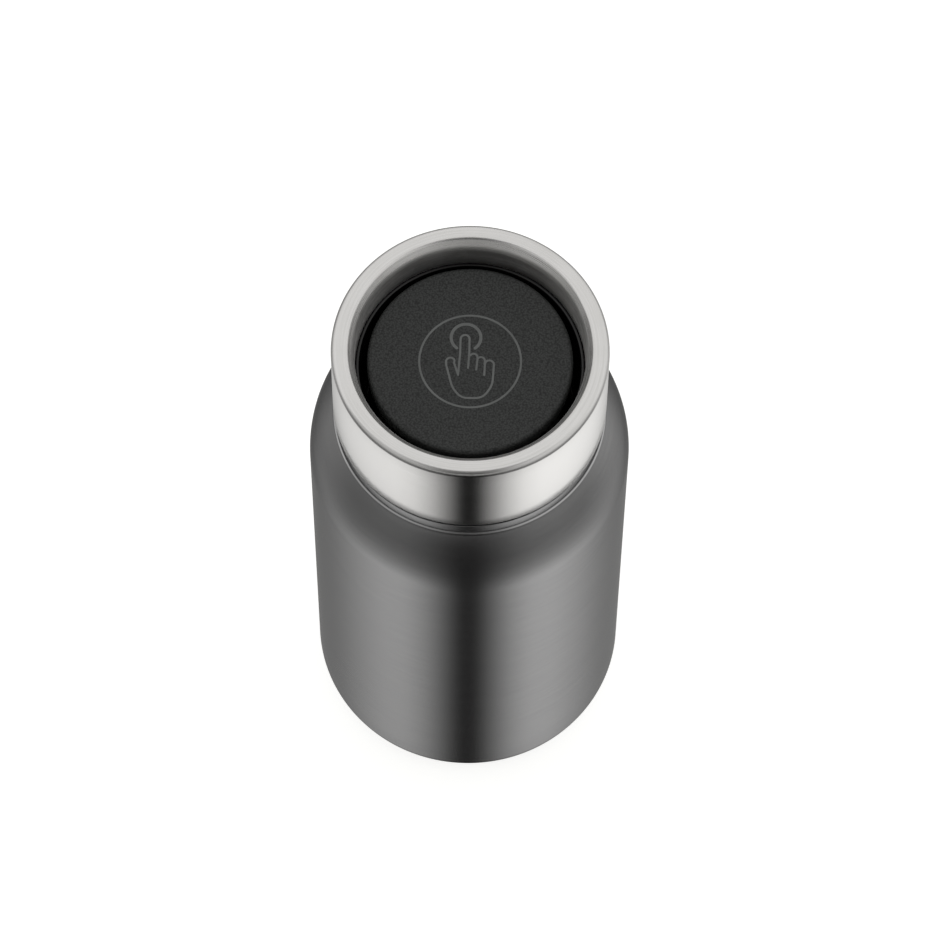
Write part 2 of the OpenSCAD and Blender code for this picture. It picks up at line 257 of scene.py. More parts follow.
# Turned inside of the mouth: bright, with rings that can be told apart, coarser down into the throat
mouthStainless = makeStainless(
    "turned mouth stainless", "#dcdbd9", "#f4f3f1", 0.24, 0.32, 0.45, 0.008,
    {"fromZ": rimZ - 1.2, "toZ": rimZ - 2.6, "added": 0.1})
# Inner vessel as it comes off the lathe: greyer, with plain rings
turnedStainless = makeStainless("turned stainless", "#b4b1ac", "#cfccc7", 0.22, 0.38, 0.5, 0.02)
# Deep-drawn base and small parts: grey and calm, with wide faint draw marks
drawnStainless = makeStainless("drawn stainless", "#aaa7a2", "#c2bfba", 0.26, 0.34, 1.2, 0.006)


# Metallic lacquer over brushed steel: a dark satin metal whose brushing still softens each reflection
def makeLacquer():
    material, tree = newMaterial("anthracite metallic lacquer")
    lines = turnedLines(tree, 14, 0.6)     # brushing under the lacquer, coarser than life so that it shows
    flakes = evenGrain(tree, 0.45)         # aluminium flake, drawn at about ten times its size
    mixed = addNode(tree, "ShaderNodeMix", {"data_type": "FLOAT", "Factor": 0.4}, {2: lines, 3: flakes})
    colour = addNode(tree, "ShaderNodeValToRGB", twoColours("#bbbbbc", "#c6c6c6"), {"Fac": mixed.outputs[0]})
    rough = addNode(tree, "ShaderNodeMapRange", twoValues(0.245, 0.272), {"Value": mixed.outputs[0]})
    bump = addNode(tree, "ShaderNodeBump", {"Strength": 0.2, "Distance": 0.005 * mm}, {"Height": flakes})
    tangent = addNode(tree, "ShaderNodeTangent", {"direction_type": "RADIAL", "axis": "Z"})
    return finishMaterial(material, {
        "Metallic": 0.985, "Anisotropic": 0.3, "Anisotropic Rotation": 0.25,
        "Specular Tint": (0.2, 0.2, 0.2, 1)}, {
        "Base Color": colour.outputs["Color"], "Roughness": rough.outputs[0],
        "Normal": bump.outputs[0], "Tangent": tangent.outputs[0]})


lacquer = makeLacquer()


# Moulded polypropylene with a leather grain: matt black pebbles 0.4 mm across, with creases between them
def makeGrainedPolypropylene():
    material, tree = newMaterial("leather-grained polypropylene")
    here = addNode(tree, "ShaderNodeTexCoord").outputs["Object"]
    sway = addNode(tree, "ShaderNodeTexNoise", {"Scale": 1 / (1.6 * mm), "Detail": 2.0}, {"Vector": here})
    swayed = addNode(tree, "ShaderNodeVectorMath", {"operation": "MULTIPLY_ADD", 1: (0.5 * mm,) * 3},
                     {0: sway.outputs["Color"], 2: here})
    pebbles = addNode(tree, "ShaderNodeTexVoronoi", {
        "feature": "SMOOTH_F1", "Scale": 1 / (0.42 * mm), "Smoothness": 0.25}, {"Vector": swayed.outputs[0]})
    mixed = addNode(tree, "ShaderNodeMix", {"data_type": "FLOAT", "Factor": 0.3},
                    {2: pebbles.outputs["Distance"], 3: evenGrain(tree, 0.3)})
    upside = addNode(tree, "ShaderNodeMath", {"operation": "SUBTRACT", 0: 1.0}, {1: mixed.outputs[0]})
    colour = addNode(tree, "ShaderNodeValToRGB", twoColours("#111312", "#333534"), {"Fac": upside.outputs[0]})
    rough = addNode(tree, "ShaderNodeMapRange", twoValues(0.62, 0.48), {"Value": upside.outputs[0]})
    bump = addNode(tree, "ShaderNodeBump", {"Strength": 0.9, "Distance": 0.07 * mm},
                   {"Height": upside.outputs[0]})
    return finishMaterial(material, {"IOR": 1.49}, {
        "Base Color": colour.outputs["Color"], "Roughness": rough.outputs[0], "Normal": bump.outputs[0]})


grained = makeGrainedPolypropylene()


# Plain mouldings: one colour with a faint flow, and a skin as smooth as its tool
def makeMoulding(name, darkHex, lightHex, roughLow, roughHigh, grainMm, bumpMm, ior=1.49):
    material, tree = newMaterial(name)
    skin = evenGrain(tree, grainMm)
    colour = addNode(tree, "ShaderNodeValToRGB", twoColours(darkHex, lightHex), {"Fac": evenGrain(tree, 6)})
    rough = addNode(tree, "ShaderNodeMapRange", twoValues(roughLow, roughHigh), {"Value": skin})
    bump = addNode(tree, "ShaderNodeBump", {"Strength": 0.4, "Distance": bumpMm * mm}, {"Height": skin})
    return finishMaterial(material, {"IOR": ior}, {
        "Base Color": colour.outputs["Color"], "Roughness": rough.outputs[0], "Normal": bump.outputs[0]})


# Lid ring from a polished tool: deep black, with sharp thin highlights on its lip
glossPolypropylene = makeMoulding(
    "glossy moulded polypropylene", "#050505", "#0a0a0a", 0.16, 0.24, 0.9, 0.004)
# Small inner parts: dark and satin, with soft highlights
satinPolypropylene = makeMoulding("satin moulded polypropylene", "#161717", "#1f2020", 0.38, 0.5, 0.5, 0.01)
# Pad-printed pictogram: a thin grey film, matt against the black grain
printedInk = makeMoulding("pad-printed grey ink", "#5e605f", "#6a6c6b", 0.42, 0.55, 0.3, 0.004)
# Plunger: milky white and slick
acetal = makeMoulding("natural acetal", "#c9c8c2", "#d6d5cf", 0.3, 0.4, 0.6, 0.006, 1.48)
# Seals: dark grey with a dull rubbery bloom
silicone = makeMoulding("moulded silicone", "#2f3031", "#3a3b3c", 0.5, 0.62, 0.4, 0.01, 1.41)
# Vent seal: a brown glassy drop with a wavy skin
solderGlass = makeMoulding("fired solder glass", "#5c4a36", "#77624a", 0.25, 0.4, 0.5, 0.01, 1.6)
# Getter: a dead matt dark pellet
getterMetal = makeMoulding("sintered getter", "#3a3c3f", "#4a4c50", 0.7, 0.85, 0.2, 0.02)


# Drawn spring wire: bright, broken up by fine draw marks
def makeWire():
    material, tree = newMaterial("drawn spring wire")
    marks = evenGrain(tree, 0.25)
    colour = addNode(tree, "ShaderNodeValToRGB", twoColours("#a9aaab", "#c4c5c6"), {"Fac": marks})
    rough = addNode(tree, "ShaderNodeMapRange", twoValues(0.22, 0.34), {"Value": marks})
    return finishMaterial(material, {"Metallic": 1.0}, {
        "Base Color": colour.outputs["Color"], "Roughness": rough.outputs[0]})


springWire = makeWire()
print("materials: made")

# Painted casing: foot ring, wall, domed shoulder and neck
casing = {
    "wallMm": 0.45,
    "footRadius": 28.5,
    "edgeRounding": 6.0,
    "neckRadius": 29.9,
    "coveRounding": 1.5,
    "neckShows": 4.3,
    "seamGap": 0.3,
    "neckTopRadius": 30.0,
    "grooveTop": 1.5,             # shadow groove behind the collar's lower edge
    "grooveDepth": 0.7,
    "grooveFloor": 3.2,
    "domeStretch": 1.025,
    "ledgeFrom": 30.3,            # narrow ledge between the shoulder and the neck
    "ledgeWide": 0.26,
    "ledgeTiltDeg": 37,
}


def makeCasing(c):
    edgeR = bodyR - c["edgeRounding"]
    coveR = c["neckRadius"] + c["coveRounding"]
    rise = math.sqrt((bodyR + c["coveRounding"]) ** 2 - coveR ** 2)
    coveZ = collarZ - c["neckShows"]
    domeZ = coveZ - rise
    domeDeg = math.degrees(math.asin(rise / (bodyR + c["coveRounding"])))
    lipZ = collarZ - c["seamGap"]
    inR = c["neckRadius"] - c["wallMm"]
    outline = [(c["footRadius"], 0.25), (c["footRadius"] + 0.25, 0)]
    outline += arc(edgeR, c["edgeRounding"], c["edgeRounding"], -90, 0, 14)
    outline += [(bodyR, c["edgeRounding"] + (domeZ - c["edgeRounding"]) * i / 12) for i in range(1, 12)]
    ledgeDeg = math.degrees(math.acos(c["ledgeFrom"] / bodyR))
    ledgeZ = domeZ + bodyR * math.sin(math.radians(ledgeDeg)) * c["domeStretch"]
    ledgeRise = c["ledgeWide"] * math.tan(math.radians(c["ledgeTiltDeg"]))
    grooveZ, grooveR = collarZ - c["grooveTop"], c["neckRadius"] - c["grooveDepth"]
    outline += [(r, domeZ + (z - domeZ) * c["domeStretch"])
                for r, z in arc(0, domeZ, bodyR, 0, ledgeDeg - 0.2, 40)]
    innerLedgeR, topLedgeZ, neckR = c["ledgeFrom"] - c["ledgeWide"], ledgeZ + ledgeRise, c["neckTopRadius"]
    grooveLowZ = collarZ - c["grooveFloor"]
    outline += soften([
        (c["ledgeFrom"] + 0.06, ledgeZ - 0.05, 0), (c["ledgeFrom"], ledgeZ, 0.06),
        (innerLedgeR, topLedgeZ, 0.03), (neckR, topLedgeZ + 0.1, 0.03),
        (neckR, grooveZ, 0.12), (neckR - 0.15, grooveZ, 0.05),
        (neckR - 0.15, grooveLowZ, 0), (grooveR, grooveLowZ, 0), (grooveR, lipZ + 3, 0),
    ], closed=False)
    outline += [(inR - 0.3, lipZ + 3), (inR - 0.3, coveZ)]
    outline += arc(0, domeZ, bodyR - c["wallMm"], domeDeg, 0, 30)
    outline += arc(edgeR, c["edgeRounding"], c["edgeRounding"] - c["wallMm"], 0, -90, 10)
    outline += [(c["footRadius"], c["wallMm"])]
    return lathe("painted_casing", outline, 320)


place(makeCasing(casing), "flask", "painted_steel", lacquer, "outer_shell")

# Brushed drinking collar: skirt and rolled rim, with the turned funnel of the mouth inside
collar = {
    "wallMm": 0.55,
    "mouthRadius": 25.45,
    "throatRadius": 25.25,
    "outerRounding": 1.3,
    "rollRadius": 27.3,          # where the flat of the rim starts to roll inwards
    "innerRounding": 0.9,
    "finishChangesDeg": 135,     # where round the roll the brushing gives way to the turned funnel
    "funnelDeg": 142,
}


def makeCollar(c):
    outR, inR, change = c["outerRounding"], c["innerRounding"], c["finishChangesDeg"]
    skirtR = collarR - c["wallMm"]
    innerR, innerZ = c["rollRadius"], rimZ - inR
    outline = [(skirtR, collarZ + 0.08), (skirtR + 0.08, collarZ), (collarR - 0.12, collarZ)]
    outline += [(collarR - 0.03, collarZ + 0.03), (collarR, collarZ + 0.12)]
    outline += [(collarR, collarZ + (rimZ - outR - collarZ) * i / 6) for i in range(1, 6)]
    outline += arc(collarR - outR, rimZ - outR, outR, 0, 90, 12)
    outline += arc(innerR, innerZ, inR, 90, change, 12)
    outline += arc(innerR, innerZ, inR - c["wallMm"], change, 90, 8)
    outline += [(collarR - outR, rimZ - c["wallMm"]), (skirtR, rimZ - outR)]
    return lathe("drinking_collar", outline, 320)


def makeMouthWall(c):
    inR, change = c["innerRounding"], c["finishChangesDeg"]
    innerR, innerZ = c["rollRadius"], rimZ - inR
    face = arc(innerR, innerZ, inR, change, c["funnelDeg"], 8)
    slope = math.tan(math.radians(c["funnelDeg"] - 90))
    throatZ = face[-1][1] - (face[-1][0] - c["throatRadius"]) * slope
    face += soften([(*face[-1], 0), (c["throatRadius"], throatZ, 3.0), (c["throatRadius"], throatZ - 3, 0)],
                   steps=12, closed=False)[1:]
    face += [(c["throatRadius"], seamZ + 0.4), (c["mouthRadius"], seamZ)]
    back = [(r + c["wallMm"], z - 0.1) for r, z in reversed(face[:-1])]
    return lathe("mouth_wall", face + [(c["mouthRadius"] + c["wallMm"], seamZ)] + back, 320)


place(makeCollar(collar), "flask", "brushed_steel", brushedStainless, "mouth_collar")
place(makeMouthWall(collar), "flask", "brushed_steel", mouthStainless, "mouth_collar")

# Rolled screw thread: three starts, each half a turn long, that fade in and out
thread = {
    "starts": 3,
    "leadMm": 12,
    "spanDeg": 180,
    "startDeg": 11,
    "fadeDeg": 16,
    "ridgeWidth": 2.0,
    "lidLowZ": ringZ - 13.8,
    "neckLowZ": ringZ - 13.8 + 1.55,
    "neckHeight": 0.95,
    "lidHeight": 1.05,
}


def ridge(z, angle, lowZ):
    best = 0.0
    for k in range(thread["starts"]):
        turn = (math.degrees(angle) - thread["startDeg"] - 360 * k / thread["starts"]) % 360
        if turn > thread["spanDeg"]:
            continue
        away = abs(z - lowZ - thread["leadMm"] * turn / 360) / (thread["ridgeWidth"] / 2)
        fade = min(1.0, min(turn, thread["spanDeg"] - turn) / thread["fadeDeg"])
        if away < 1:
            best = max(best, fade * min(1.0, 0.62 * (1 + math.cos(math.pi * away))))
    return best


# Inner vessel with its formed neck
vessel = {
    "wallMm": 0.35,
    "seatRadius": 24.3,
    "seatZ": ringZ - 24.0,
    "seatHeight": 4.5,
    "domeZ": ringZ - 45.5,
    "domeDeg": 39.7,
    "lowZ": lowOf("inner_liner"),
    "threadRings": 64,
}


def makeVessel(c):
    domeZ, mouthR = c["domeZ"], collar["mouthRadius"]
    seatTopZ = c["seatZ"] + c["seatHeight"]
    flareZ = seatTopZ + 2

    def formed(r, z, angle):
        if r > mouthR + 0.1 or z < flareZ:
            return r
        return r - thread["neckHeight"] * ridge(z, angle, thread["neckLowZ"])

    outline = [(linerR, c["lowZ"])]
    outline += arc(0, domeZ, linerR, 0, c["domeDeg"], 24)
    outline += [(c["seatRadius"] + c["wallMm"], c["seatZ"] + 0.3)]
    outline += [(c["seatRadius"] + c["wallMm"], flareZ - 2.2), (mouthR + c["wallMm"], flareZ - 0.2)]
    outline += [(mouthR + c["wallMm"], seamZ)]
    rings = c["threadRings"]
    outline += [(mouthR, seamZ + (flareZ - seamZ) * i / rings) for i in range(rings + 1)]
    outline += [(mouthR - 0.12, flareZ - 0.3), (c["seatRadius"] + 0.1, seatTopZ + 0.25)]
    outline += [(c["seatRadius"], seatTopZ - 0.1), (c["seatRadius"], c["seatZ"] + 0.4)]
    outline += arc(0, domeZ, linerR - c["wallMm"], c["domeDeg"], 0, 24)
    outline += [(linerR - c["wallMm"], c["lowZ"])]
    return lathe("inner_vessel", outline, 360, bulge=formed)


place(makeVessel(vessel), "flask", "bare_steel", turnedStainless, "inner_liner")

# Bottom of the inner vessel
vesselFloor = {"lowZ": lowOf("liner_bottom"), "rounding": 6.0, "wallMm": 0.35}


def makeVesselFloor(c):
    edgeR, edgeZ = linerR - c["rounding"], c["lowZ"] + c["rounding"]
    outline = [(0, c["lowZ"])] + arc(edgeR, edgeZ, c["rounding"], -90, 0)
    outline += arc(edgeR, edgeZ, c["rounding"] - c["wallMm"], 0, -90)
    outline += [(edgeR * 0.66, c["lowZ"] + c["wallMm"]), (edgeR * 0.33, c["lowZ"] + c["wallMm"])]
    outline += [(0, c["lowZ"] + c["wallMm"])]
    return lathe("vessel_floor", outline, closed=False)


place(makeVesselFloor(vesselFloor), "flask", "bare_steel", turnedStainless, "liner_bottom")

# Outer bottom with the pressed-in cover plate
underside = {
    "footRadius": casing["footRadius"],
    "raisedZ": 3.6,
    "sheetMm": 0.6,
    "ventRadius": 1.0,
    "coverSheetMm": 0.5,
    "dishRadius": 8.0,            # shallow round dish in the middle of the cover plate
    "dishSlope": 1.5,
}


def makeOuterBottom(c):
    foot, low, t = c["footRadius"], casing["wallMm"], c["sheetMm"]
    corners = [
        (c["ventRadius"], c["raisedZ"], 0.1), (foot - 3.3, c["raisedZ"], 0.8), (foot - 1.7, low, 0.5),
        (foot + 1.5, low, 0), (foot + 1.5, low + t, 0), (foot - 1.3, low + t, 0.5),
        (foot - 2.9, c["raisedZ"] + t, 0.8), (c["ventRadius"], c["raisedZ"] + t, 0.1),
    ]
    return lathe("outer_bottom_disc", soften(corners))


def makeBaseCover(c):
    r, z = radiusOf("base_cover"), lowOf("base_cover")
    t, dishR = c["coverSheetMm"], c["dishRadius"]
    edgeR = dishR + c["dishSlope"]
    corners = [
        (0, z + t, 0), (dishR, z + t, 0.6), (edgeR, z, 0.6), (r, z, 0.4), (r, z + 2 * t, 0.1),
        (r - t, z + 2 * t, 0.1), (r - t, z + t, 0), (edgeR + 0.2, z + t, 0.4), (dishR + 0.2, z + 2 * t, 0.4),
        (0, z + 2 * t, 0),
    ]
    return lathe("base_cover_plate", soften(corners, closed=False), closed=False)


place(makeOuterBottom(underside), "flask", "bare_steel", drawnStainless, "outer_bottom")
place(makeBaseCover(underside), "flask", "bare_steel", turnedStainless, "base_cover")
print("flask: made")

# Screw-in lid ring with its rounded lip, ribs and hub
lidRing = {
    "lipRadius": 25.1,
    "lipInner": 24.25,
    "rootRadius": 24.1,
    "boreRadius": 22.9,
    "valveHole": 20.6,
    "valveSeat": 21.3,
    "skirtRadius": 23.9,
    "gasketGroove": 22.6,
    "grooveMm": 3.8,
    "ribs": 6,
    "ribsFromDeg": 30,
    "ribMm": 1.4,
    "ribFoot": 21.8,
    "ribTop": 23.3,
    "hubRadius": 8.8,
    "hubBore": 7.4,
    "hubTopZ": ringZ - 4.4,
    "glandRadius": 4.55,          # pocket under the hub for the o-ring and its washer
    "stemBore": 3.05,
    "threadRings": 100,
}


def makeLidRing(c):
    low, root, bore = ringLowZ, c["rootRadius"], c["boreRadius"]
    grooveZ = low + 2.2
    topThreadZ, lowThreadZ = ringZ - 4.6, grooveZ + 4.0

    def threaded(r, z, angle):
        if abs(r - root) > 0.01 or not lowThreadZ < z < topThreadZ:
            return r
        return r + thread["lidHeight"] * ridge(z, angle, thread["lidLowZ"])

    hole, seat, skirt, groove = c["valveHole"], c["valveSeat"], c["skirtRadius"], c["gasketGroove"]
    grooveTopZ = grooveZ + c["grooveMm"]
    lower = soften([
        (bore, low + 8.4, 0.8), (seat, low + 6.4, 0.8), (seat, low + 2.8, 0.3), (hole, low + 2, 0.3),
        (hole, low, 0.3), (skirt, low, 0.35), (skirt, grooveZ, 0.2), (groove, grooveZ, 0.15),
        (groove, grooveTopZ, 0.15), (root, grooveTopZ, 0),
    ])
    rings = c["threadRings"]
    wall = [(root, lowThreadZ + (topThreadZ - lowThreadZ) * i / rings) for i in range(rings + 1)]
    upper = soften([
        (root, ringZ - 4.4, 0.3), (c["lipRadius"], ringZ - 3.4, 0.4), (c["lipRadius"], ringZ, 0.55),
        (c["lipInner"], ringZ, 0.6), (bore + 0.3, ringZ - 3.5, 0.6), (bore, ringZ - 4.8, 0.4),
        (bore, low + 12, 0),
    ], steps=7)
    outline = lower + wall + upper
    return lathe("lid_ring", outline, 360, bulge=threaded)


def makeLidSpider(c):
    bm = bmesh.new()
    low = ringLowZ + 3.4
    for i in range(c["ribs"]):
        a = math.radians(c["ribsFromDeg"] + i * 360 / c["ribs"])
        along, side = Vector((math.cos(a), math.sin(a), 0)), Vector((-math.sin(a), math.cos(a), 0))
        innerR = c["hubRadius"] - 0.6
        profile = [(innerR, low), (c["ribFoot"], low), (c["ribFoot"], low + 2.9),
                   (c["ribTop"], low + 4.8), (c["ribTop"], low + 9), (innerR, low + 9)]
        ends = []
        for half in (-c["ribMm"] / 2, c["ribMm"] / 2):
            ends.append([bm.verts.new((along * r + side * half + Vector((0, 0, z))) * mm)
                         for r, z in profile])
        bm.faces.new(ends[0])
        bm.faces.new(list(reversed(ends[1])))
        for k in range(len(profile)):
            n = (k + 1) % len(profile)
            bm.faces.new((ends[0][k], ends[1][k], ends[1][n], ends[0][n]))
    bmesh.ops.recalc_face_normals(bm, faces=bm.faces)
    bmesh.ops.bevel(bm, geom=[e for e in bm.edges if e.calc_face_angle(0) > 0.5],
                    offset=0.15 * mm, segments=2, affect="EDGES")
    ribs = finishMesh("lid_ribs", bm)
    footZ, floorZ = ringLowZ + 1.2, ringLowZ + 4.4
    gland, stem = c["glandRadius"], c["stemBore"]
    hub = lathe("lid_hub", soften([
        (gland, footZ, 0.2), (c["hubRadius"], footZ, 0.5),
        (c["hubRadius"], c["hubTopZ"], 0.5), (c["hubBore"], c["hubTopZ"], 0.3),
        (c["hubBore"], floorZ, 0.2), (stem, floorZ, 0.1),
        (stem, floorZ - 0.8, 0.05), (gland, floorZ - 0.8, 0.05),
    ]), 128)
    return ribs, hub


place(makeLidRing(lidRing), "lid", "lid_plastic", glossPolypropylene, "lid_body")
for part in makeLidSpider(lidRing):
    place(part, "lid", "lid_plastic", glossPolypropylene)
print("lid: made")

# Push plate: a shallow cap with a soft edge
plate = {"edgeRounding": 0.9, "skirtMm": 1.3, "crownMm": 1.6, "stemRadius": 2.95, "bossRadius": 7.0}


def makePlate(c):
    low, under = lowOf("push_plate"), plateZ - c["crownMm"]
    bossZ = topOf("plunger")
    outline = [(plateR * i / 24, plateZ) for i in range(23)]
    outline += arc(plateR - c["edgeRounding"], plateZ - c["edgeRounding"], c["edgeRounding"], 90, 0, 10)
    outline += soften([
        (plateR, plateZ - 1.5, 0), (plateR, low, 0.3), (plateR - c["skirtMm"], low, 0.3),
        (plateR - c["skirtMm"], under, 0.4), (c["bossRadius"], under, 0.4), (c["bossRadius"], bossZ, 0.2),
        (c["stemRadius"], bossZ, 0), (c["stemRadius"], under, 0), (0, under, 0),
    ], closed=False)
    return lathe("push_plate_cap", outline, closed=False)


place(makePlate(plate), "button", "plate_plastic", grained, "push_plate")

# Press-here pictogram: a ring round a hand whose finger points at a touch arc, in plate millimetres
pictogram = {
    "ringRadius": 11.1,
    "ringLine": 0.46,
    "handLine": 0.46,
    "towardsUser": 0.36,
    "arcCentre": (-0.95, 5.75),
    "arcRadius": 3.25,
    "arcLine": 0.68,
    "heightMm": 0.03,
}


def curvedLine(centre, radius, startDeg, endDeg, steps=24):
    return [(centre[0] + x, centre[1] + y) for x, y in arc(0, 0, radius, startDeg, endDeg, steps)]


# A flat ribbon along a line of points, with round ends unless it closes on itself
def ribbon(bm, points, width, topZ, closed=False):
    half = width / 2
    path = [Vector(p) - Vector((0, pictogram["towardsUser"])) for p in points]
    count = len(path)
    stations = []                          # middle of the ribbon, and half its width sideways
    for i, p in enumerate(path):
        before = path[(i - 1) % count] if closed or i > 0 else p
        after = path[(i + 1) % count] if closed or i < count - 1 else p
        along = (after - before).normalized()
        stations.append((p, Vector((-along.y, along.x)) * half))
    if not closed:
        turns = [math.radians(a) for a in (20, 40, 60, 80)]
        for at, way in ((0, 1), (-1, -1)):
            p, side = stations[at]
            out = Vector((-side.y, side.x)) * way
            cap = [(p + out * math.sin(t), side * math.cos(t)) for t in turns]
            stations = cap[::-1] + stations if at == 0 else stations + cap
    low = topZ - pictogram["heightMm"] * 2
    rows = []
    for p, side in stations:
        corners = ((p + side, low), (p + side, topZ), (p - side, topZ), (p - side, low))
        rows.append([bm.verts.new((q.x * mm, q.y * mm, z * mm)) for q, z in corners])
    for here, ahead in list(zip(rows, rows[1:])) + ([(rows[-1], rows[0])] if closed else []):
        for k in range(4):
            n = (k + 1) % 4
            bm.faces.new((here[k], here[n], ahead[n], ahead[k]))
    if not closed:
        bm.faces.new(rows[0])
        bm.faces.new(rows[-1][::-1])


def makePictogram(c):
    bm = bmesh.new()
    topZ = plateZ + c["heightMm"]
    ribbon(bm, curvedLine((0, 0), c["ringRadius"], 0, 360, 120)[:-1], c["ringLine"], topZ, closed=True)
    ribbon(bm, curvedLine(c["arcCentre"], c["arcRadius"], -52, 232, 40), c["arcLine"], topZ)
    fingerTop = curvedLine((-1.15, 5.4), 0.98, 0, 180, 10)
    finger = [(-0.45, -1.6), (-0.2, 2.0)] + fingerTop + [(-2.2, 2.0), (-2.6, -3.3)]
    thumb = [(-2.6, -3.3), (-3.5, -0.4)] + curvedLine((-4.3, -0.1), 0.95, 20, 190, 8)
    palm = soften([(-5.2, -1.0, 0), (-3.9, -6.2, 6.0), (-2.0, -8.85, 4.0), (2.9, -8.85, 4.5),
                   (4.9, -5.6, 5.0), (5.15, -1.4, 0)], steps=7, closed=False)
    little = curvedLine((4.2, -0.7), 0.98, 0, 180, 8) + [(3.1, -3.3)]
    ribbon(bm, thumb + palm + little, c["handLine"], topZ)
    ribbon(bm, finger, c["handLine"], topZ - 0.004)      # each line a hair lower, so crossings don't flicker
    middle = [(1.35, -2.0), (1.6, 0.5)] + curvedLine((0.75, 1.0), 0.85, 0, 150, 8)
    ring = [(3.15, -0.7)] + curvedLine((2.35, 0.2), 0.85, 0, 150, 8)
    ribbon(bm, middle, c["handLine"], topZ - 0.008)
    ribbon(bm, ring, c["handLine"], topZ - 0.012)
    bmesh.ops.recalc_face_normals(bm, faces=bm.faces)
    return finishMesh("touch_pictogram", bm)


place(makePictogram(pictogram), "button", "plate_plastic", printedInk)
print("button: made")

# Return spring: open coils of round wire
coilSpring = {"coilRadius": 4.9, "wireRadius": 0.4, "turns": 5, "strokeMm": 5.0, "perTurn": 48, "sides": 14}


def makeCoilSpring(c):
    bm = bmesh.new()
    low, high = lowOf("return_spring") + c["wireRadius"], topOf("return_spring") - c["wireRadius"]
    count = c["turns"] * c["perTurn"]
    rings = []
    for j in range(count + 1):
        a = 2 * math.pi * j / c["perTurn"]
        ring = []
        for i in range(c["sides"]):
            b = 2 * math.pi * i / c["sides"]
            r, z = c["coilRadius"] + c["wireRadius"] * math.cos(b), low + (high - low) * j / count
            ring.append(bm.verts.new((r * math.cos(a) * mm, r * math.sin(a) * mm,
                                      (z + c["wireRadius"] * math.sin(b)) * mm)))
        rings.append(ring)
    for here, ahead in zip(rings, rings[1:]):
        for i in range(c["sides"]):
            k = (i + 1) % c["sides"]
            bm.faces.new((here[i], here[k], ahead[k], ahead[i]))
    bm.faces.new(rings[0])
    bm.faces.new(list(reversed(rings[-1])))
    bmesh.ops.recalc_face_normals(bm, faces=bm.faces)
    return finishMesh("coil_spring", bm)


springPiece = place(makeCoilSpring(coilSpring), "lid", "spring_steel", springWire, "return_spring")
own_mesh(springPiece)

# The CAD nodes that keep their own shape, and the finish of each
keptNodes = {
    "vacuum_seal_bead": solderGlass,
    "getter_pellet": getterMetal,
    "getter_clip": drawnStainless,
    "neck_gasket": silicone,
    "stem_oring": silicone,
    "oring_retainer": satinPolypropylene,
    "latch_pin": springWire,
    "plunger": acetal,
    "valve_stem": drawnStainless,
    "valve_disc": satinPolypropylene,
    "valve_seal": silicone,
    "valve_nut": satinPolypropylene,
}
for name, finish in keptNodes.items():
    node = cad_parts[name]
    node.data.materials.clear()
    node.data.materials.append(finish)

# Floor and studio
studio = {
    "floorHalf": 30.0,
    "floorHex": "#c9c9c8",
    "floorGlow": 1.35,
    "level": 1.35,
    "skyForCamera": 0.97,
    "rightBoost": 0.2,
    "turnCentre": 0.25,           # the dark gap in front reaches this far past straight down
    # brightness round the object: share of the half turn from the front, and level
    "roundTheAxis": [(0.0, 0.0), (0.022, 0.015), (0.04, 0.1), (0.075, 0.3), (0.11, 0.54), (0.166, 0.83),
                     (0.23, 0.94), (0.33, 0.92), (0.45, 0.82), (0.54, 0.72), (0.65, 0.5), (1.0, 0.35)],
    # brightness from straight down to straight up: share of the way, and level
    "downToUp": [(0.0, 1.0), (0.05, 1.0), (0.075, 0.74), (0.1, 0.47), (0.163, 0.22), (0.28, 0.12),
                 (0.44, 0.16), (0.55, 0.24), (0.65, 0.45), (0.87, 0.45), (1.0, 0.45)],
    # light that fills the front gap just above the horizon: share of the way up, and level
    "gapFill": [(0.51, 0.0), (0.55, 0.9), (0.65, 0.9), (0.73, 0.0)],
    "crownGap": (0.08, 0.5, 0.24),    # the front of the ceiling is dark in the middle: from, to, least share
    "crownFrom": (0.5, 0.8),
    "downToUpBehind": [(0.0, 1.0), (0.05, 1.0), (0.1, 0.66), (0.2, 0.45), (0.35, 0.42), (0.5, 0.5),
                       (0.75, 0.5), (1.0, 0.4)],
    "behindFrom": (0.3, 0.6),     # share of the half turn over which the front gives way to the back
    "overhead": 0.58,             # softbox above and behind
    "overheadFrom": (-0.12, 0.0),
    "overheadDownTo": (0.1, 0.4),
}


def makeFloor(c):
    bm = bmesh.new()
    bmesh.ops.create_grid(bm, x_segments=1, y_segments=1, size=c["floorHalf"])
    floor = finishMesh("floor", bm)
    material = newMaterial("matt white table")[0]
    floor.data.materials.append(finishMaterial(material, {
        "Base Color": linearColour(c["floorHex"]), "Roughness": 0.9,
        "Emission Color": linearColour(c["floorHex"]), "Emission Strength": c["floorGlow"]}))
    floor.visible_glossy = False           # gloss looks past the table at the studio's low panels


# A grey ramp for the studio, from (spot, level) pairs
def greyStops(pairs):
    return {"stops": [(spot, (level, level, level, 1)) for spot, level in pairs]}


# The settings of a smooth change from 0 to 1
def smoothFrom(start, end):
    return {"interpolation_type": "SMOOTHSTEP", "From Min": start, "From Max": end}


